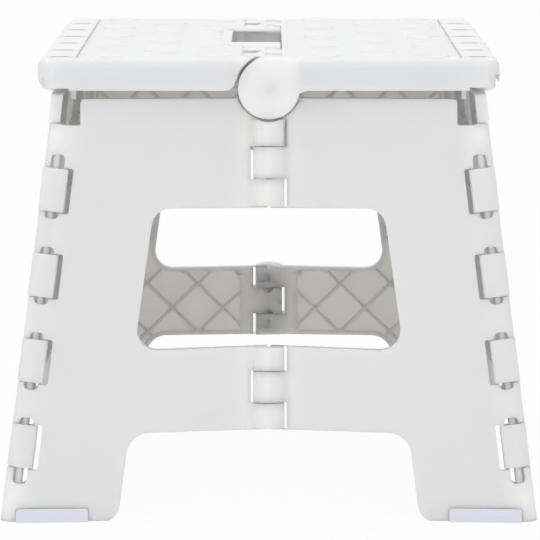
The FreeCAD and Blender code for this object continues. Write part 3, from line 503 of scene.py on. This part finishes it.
@dataclass
class HandSlot:
    """Plate ends with rolled lips, and the finger comb, round the hand slot."""
    groups: SharedGroups
    left_x: float = -18.8 * MM
    right_x: float = 5.7 * MM
    step_x: float = -13.0 * MM
    front_y: float = -31.0 * MM
    back_y: float = 51.0 * MM
    solid_left: float = 55.0 * MM
    solid_right: float = 58.9 * MM
    top_z: float = 219.5 * MM
    front_plate: float = 3.0 * MM
    back_plate: float = 1.9 * MM
    lip: float = 1.6 * MM
    overlap: float = 1.0 * MM
    proud: float = 0.04 * MM
    dip: float = 0.3 * MM
    least_plate: float = 0.2 * MM
    step_blend: float = 0.05 * MM
    right_ease: float = 0.3 * MM
    lip_rows: int = 9
    flat_rows: int = 7
    comb_length: float = 5.6 * MM
    comb_centres: tuple = (-9.0 * MM, 8.5 * MM, 26.0 * MM, 43.5 * MM)
    comb_half_width: float = 5.2 * MM
    comb_height: float = 2.0 * MM
    comb_below: float = 0.1 * MM
    comb_slope: float = 0.5 * MM
    comb_foot: float = 1.2 * MM
    comb_rows: int = 15
    comb_columns: int = 17

    def bridge(self, slot_y: float, sign: float, plate: float) -> tuple:
        """Plate between the slot's end and the hinge fingers.

        The section is a flat top that rolls down at the slot over a quarter
        circle, z = top - lip (1 - cos a). Its outer edges dip below the
        moulding round it by dip * (1 - s)^2, with s the share of the overlap.

        Args:
            slot_y: where the slot ends.
            sign: the end, 1 at the back and -1 at the front.
            plate: thickness of the plate.

        Returns:
            (points, quads) of a closed plate.
        """
        edge = self.left_x - self.overlap
        x = np.array([edge, edge + 0.5 * self.overlap, self.left_x, self.step_x - self.step_blend,
                      self.step_x + self.step_blend, 0.0, self.right_x - self.right_ease, self.right_x])
        side_dip = np.array([1.0, 0.25, 0.0, 0.0, 0.0, 0.0, 0.05, 0.6])
        end_y = np.where(x < self.step_x, self.solid_left, self.solid_right)
        angle = np.linspace(np.pi / 2, 0.0, self.lip_rows)
        slot_edge = slot_y * sign
        rolled_y = slot_edge + self.lip * (1.0 - np.sin(angle))
        run = np.concatenate([np.linspace(0.0, 0.9, self.flat_rows - 1)[1:], [0.96, 1.0]])
        straight = slot_edge + self.lip
        y = np.concatenate([np.broadcast_to(rolled_y[:, None], (self.lip_rows, len(x))),
                            straight + (end_y[None, :] - straight) * run[:, None]])
        z = np.concatenate([self.top_z - self.lip * (1.0 - np.cos(angle)),
                            np.full(self.flat_rows, self.top_z)])
        end_dip = np.concatenate([np.zeros(self.lip_rows + self.flat_rows - 2), [0.25, 1.0]])
        dip = self.dip * np.maximum(side_dip[None, :], end_dip[:, None])
        outer = np.stack([np.broadcast_to(x, y.shape), sign * y, z[:, None] + self.proud - dip], -1)
        inner = outer.copy()
        inner[..., 2] = np.minimum(self.top_z - plate, outer[..., 2] - self.least_plate)
        if sign < 0:
            outer, inner = outer[::-1], inner[::-1]
        return closed_slab(outer, inner)

    def comb(self) -> tuple:
        """Half-round finger ribs at the slot's left edge.

        Each rib is r(t) = half width * sqrt(1 - (1 - min(1, 3t))^2) along t from
        its nose to the slot, half round above a flat foot.

        Returns:
            (points, quads) of all ribs as one mesh.
        """
        run = np.linspace(0.0, 1.0, self.comb_rows)
        nose = np.sqrt(np.clip(1.0 - (1.0 - np.clip(3.0 * run, 0.02, 1.0)) ** 2, 0.0, 1.0))
        turn = np.linspace(0.0, np.pi, self.comb_columns)
        x = (self.left_x - self.comb_length + self.comb_length * run)[:, None] * np.ones_like(turn)
        y = self.comb_half_width * nose[:, None] * np.cos(turn)
        crest = self.top_z - self.comb_below - self.comb_slope * run[:, None] ** 2
        height = self.comb_height * nose[:, None] * np.sin(turn)
        foot = np.broadcast_to(crest - self.comb_height - self.comb_foot, x.shape)
        outer = np.stack([x, y, crest - self.comb_height + height], -1)
        inner = np.stack([x, y, foot], -1)
        points, faces = closed_slab(outer, inner)
        return joined([(points + np.array([0.0, centre, 0.0]), faces) for centre in self.comb_centres])

    def build(self) -> None:
        """Make the two plate ends and the comb on the left half."""
        material = TOP_TRIM.material(self.groups)
        for end, slot_y, plate in ((End.FRONT, self.front_y, self.front_plate),
                                   (End.BACK, self.back_y, self.back_plate)):
            points, faces = self.bridge(slot_y, end.value, plate)
            add_piece("slot_plate_" + end.name.lower(), points, faces, material,
                      Half.LEFT.top_body)
        points, faces = self.comb()
        add_piece("finger_comb", points, faces, COMB.material(self.groups), Half.LEFT.top_body)


@dataclass
class FingerRidges:
    """Low ridges on the hinge fingers beside the slot, two per finger."""
    groups: SharedGroups
    top_z: float = 219.42 * MM
    front_spans: tuple = ((-74.2 * MM, -59.6 * MM), (-106.2 * MM, -91.6 * MM))
    left_x: float = -12.4 * MM
    right_x: float = -1.5 * MM
    relief: float = 0.45 * MM
    sunk: float = 0.25 * MM
    foot: float = 1.2 * MM
    columns: int = 12
    rows: int = 25

    def ridge(self, front: float, back: float) -> tuple:
        """One finger's two soft waves: height relief * sin^2(2 pi v) * sin(pi u)^0.5.

        Args:
            front: Y of the finger's front edge.
            back: Y of its back edge.

        Returns:
            (points, quads) of a closed slab.
        """
        u = np.linspace(0.0, 1.0, self.columns)[None, :]
        v = np.linspace(0.0, 1.0, self.rows)[:, None]
        x = self.left_x + (self.right_x - self.left_x) * u + 0.0 * v
        y = front + (back - front) * v + 0.0 * u
        lift = np.sin(2 * np.pi * v) ** 2 * np.clip(np.sin(np.pi * u), 0.0, 1.0) ** 0.5
        outer = np.stack([x, y, self.top_z - self.sunk + self.relief * lift], -1)
        inner = np.stack([x, y, np.full_like(x, self.top_z - self.foot)], -1)
        return closed_slab(outer, inner)

    def build(self) -> None:
        """Make the ridges at the front and, mirrored, at the back."""
        parts = []
        for front, back in self.front_spans:
            parts += [self.ridge(front, back), self.ridge(-back, -front)]
        points, faces = joined(parts)
        add_piece("finger_ridges", points, faces, TOP_TRIM.material(self.groups),
                  Half.LEFT.top_body)


@dataclass
class RimLine:
    """Fine thread along the front or back rim of one half, its crest flush with the face."""
    half: Half
    end: End
    groups: SharedGroups
    face_y: float = 119.0 * MM
    height: float = 212.3 * MM
    width: float = 0.5 * MM
    sink: float = 0.12 * MM
    thickness: float = 0.5 * MM
    inner_x: float = 24.0 * MM
    outer_x: float = 98.0 * MM
    end_taper: float = 6.0
    columns: int = 60
    rows: int = 7

    def build(self) -> None:
        """Make the thread: y = face - sink * (1 - cos(pi v / 2) * taper(u))."""
        u = np.linspace(0.0, 1.0, self.columns)[None, :]
        v = np.linspace(-1.0, 1.0, self.rows)[:, None]
        x = (self.inner_x + (self.outer_x - self.inner_x) * u) * self.half.value + 0.0 * v
        z = self.height + self.width * v + 0.0 * u
        taper = np.clip(np.sin(np.pi * u) * self.end_taper, 0.0, 1.0)
        y = self.end.value * (self.face_y - self.sink * (1 - np.cos(np.pi * v / 2) * taper))
        outer = np.stack([x, y, z], -1)
        inner = outer.copy()
        inner[..., 1] -= self.end.value * self.thickness
        if self.half.value * self.end.value > 0:
            outer, inner = outer[::-1], inner[::-1]
        points, faces = closed_slab(outer, inner)
        name = "rim_line_" + self.half.name.lower() + "_" + self.end.name.lower()
        add_piece(name, points, faces, TOP_TRIM.material(self.groups), self.half.top_body)


@dataclass
class Studio:
    """Camera, floor and soft lights."""
    image_side: float = 540.0
    focal_pixels: float = 3283.6
    principal_x: float = 268.82
    camera_place: tuple = (0.0, -1.6709, 0.3614)
    pitch_down: float = math.radians(8.92)
    sensor: float = 36.0
    far_clip: float = 50.0
    floor_half: float = 6.0
    floor_colour: tuple = (0.92, 0.92, 0.92, 1)
    floor_roughness: float = 0.9
    floor_white_share: float = 0.95
    background_white: float = 1.0
    world_light: float = 0.70
    aim: tuple = (0.0, 0.0, 0.1)

    def build(self) -> None:
        """Set up the whole studio."""
        self._camera()
        self._floor()
        self._lights()
        self._world()
        bpy.context.scene.view_settings.view_transform = "Standard"

    def _camera(self) -> None:
        """Long lens on the stool's middle plane, looking slightly down."""
        data = bpy.data.cameras.new("camera")
        data.sensor_width = self.sensor
        data.sensor_fit = "HORIZONTAL"
        data.lens = data.sensor_width * self.focal_pixels / self.image_side
        data.shift_x = (self.image_side / 2 - self.principal_x) / self.image_side
        data.clip_end = self.far_clip
        made = bpy.data.objects.new("camera", data)
        made.location = self.camera_place
        made.rotation_euler = (math.pi / 2 - self.pitch_down, 0.0, 0.0)
        bpy.context.scene.collection.objects.link(made)
        bpy.context.scene.camera = made

    def _floor(self) -> None:
        """Wide flat floor that shows white to the camera and takes shadows."""
        side = self.floor_half
        mesh = bpy.data.meshes.new("floor")
        corners = [(-side, -side, 0), (side, -side, 0), (side, side, 0), (-side, side, 0)]
        mesh.from_pydata(corners, [], [(0, 1, 2, 3)])
        floor = bpy.data.objects.new("floor", mesh)
        bpy.context.scene.collection.objects.link(floor)
        material = bpy.data.materials.new("studio_floor")
        material.use_nodes = True
        tree = material.node_tree
        shader = next(n for n in tree.nodes if n.bl_idname == "ShaderNodeBsdfPrincipled")
        shader.inputs["Base Color"].default_value = self.floor_colour
        shader.inputs["Roughness"].default_value = self.floor_roughness
        shader.inputs["Specular IOR Level"].default_value = 0.0
        glow = tree.nodes.new("ShaderNodeEmission")
        glow.inputs["Strength"].default_value = self.background_white
        blend = tree.nodes.new("ShaderNodeMixShader")
        share = math_node(tree, "MULTIPLY", self._seen_directly(tree), self.floor_white_share)
        tree.links.new(share, blend.inputs["Fac"])
        tree.links.new(shader.outputs["BSDF"], blend.inputs[1])
        tree.links.new(glow.outputs["Emission"], blend.inputs[2])
        leave = next(n for n in tree.nodes if n.bl_idname == "ShaderNodeOutputMaterial")
        tree.links.new(blend.outputs["Shader"], leave.inputs["Surface"])
        mesh.materials.append(material)

    @staticmethod
    def _seen_directly(tree: bpy.types.NodeTree) -> bpy.types.NodeSocket:
        """1 for rays from the camera, a reflection or through a clear piece, else 0."""
        path = tree.nodes.new("ShaderNodeLightPath")
        seen = math_node(tree, "MAXIMUM", path.outputs["Is Camera Ray"], path.outputs["Is Glossy Ray"])
        return math_node(tree, "MAXIMUM", seen, path.outputs["Is Transmission Ray"])

    def _lights(self) -> None:
        """Large soft boxes above, in front and to both sides."""
        self._area("overhead", (-0.15, 0.1, 1.9), 2.0, 10.0)
        self._area("front_fill", (-0.3, -2.6, 0.72), 1.3, 8.8)
        self._area("left_fill", (-2.0, -0.8, 0.9), 1.4, 3.0)
        self._area("right_fill", (2.0, -0.8, 0.9), 1.4, 1.5)

    def _area(self, name: str, place: tuple, size: float, watts: float) -> None:
        """One square soft box that faces the middle of the stool.

        Args:
            name: its name.
            place: where it hangs.
            size: its side in metres.
            watts: its power.
        """
        data = bpy.data.lights.new(name, "AREA")
        data.energy = watts
        data.size = size
        made = bpy.data.objects.new(name, data)
        made.location = place
        made.rotation_euler = (Vector(self.aim) - Vector(place)).to_track_quat("-Z", "Y").to_euler()
        bpy.context.scene.collection.objects.link(made)

    def _world(self) -> None:
        """White world for the camera and reflections, dimmer for lighting."""
        world = bpy.data.worlds.new("studio_world")
        bpy.context.scene.world = world
        world.use_nodes = True
        tree = world.node_tree
        background = next(n for n in tree.nodes if n.bl_idname == "ShaderNodeBackground")
        mix = tree.nodes.new("ShaderNodeMix")
        mix.data_type = "FLOAT"
        mix.inputs["A"].default_value = self.world_light
        mix.inputs["B"].default_value = self.background_white
        tree.links.new(self._seen_directly(tree), mix.inputs["Factor"])
        tree.links.new(mix.outputs["Result"], background.inputs["Strength"])
        background.inputs["Color"].default_value = (1, 1, 1, 1)


def main() -> None:
    """Load the frame, dress it, light it and report each step."""
    logging.basicConfig(level=logging.INFO, format="%(name)s: %(message)s")
    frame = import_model()
    groups = SharedGroups()
    nodes = frame["nodes"]
    shells = Shells(groups)
    tops = [n for n in nodes if n.startswith("top_") and n.endswith("_half")]
    panels = [n for n in nodes if n.endswith("_panel")]
    rods = [n for n in nodes if "_rod_" in n or "_pin_" in n or n.startswith("top_pin")]
    pads = [n for n in nodes if "pad" in n and n not in rods]
    shells.dress(nodes, tops, TOP_SHELL)
    shells.dress(nodes, panels, SHELL)
    shells.dress(nodes, rods, ROD, round_edges=False)
    shells.dress(nodes, pads, GRIP)
    for half in Half:
        EndStrip(half, groups).build()
        for end in End:
            RimLine(half, end, groups).build()
    HandSlot(groups).build()
    FingerRidges(groups).build()
    Studio().build()


if __name__ == "__main__":
    main()
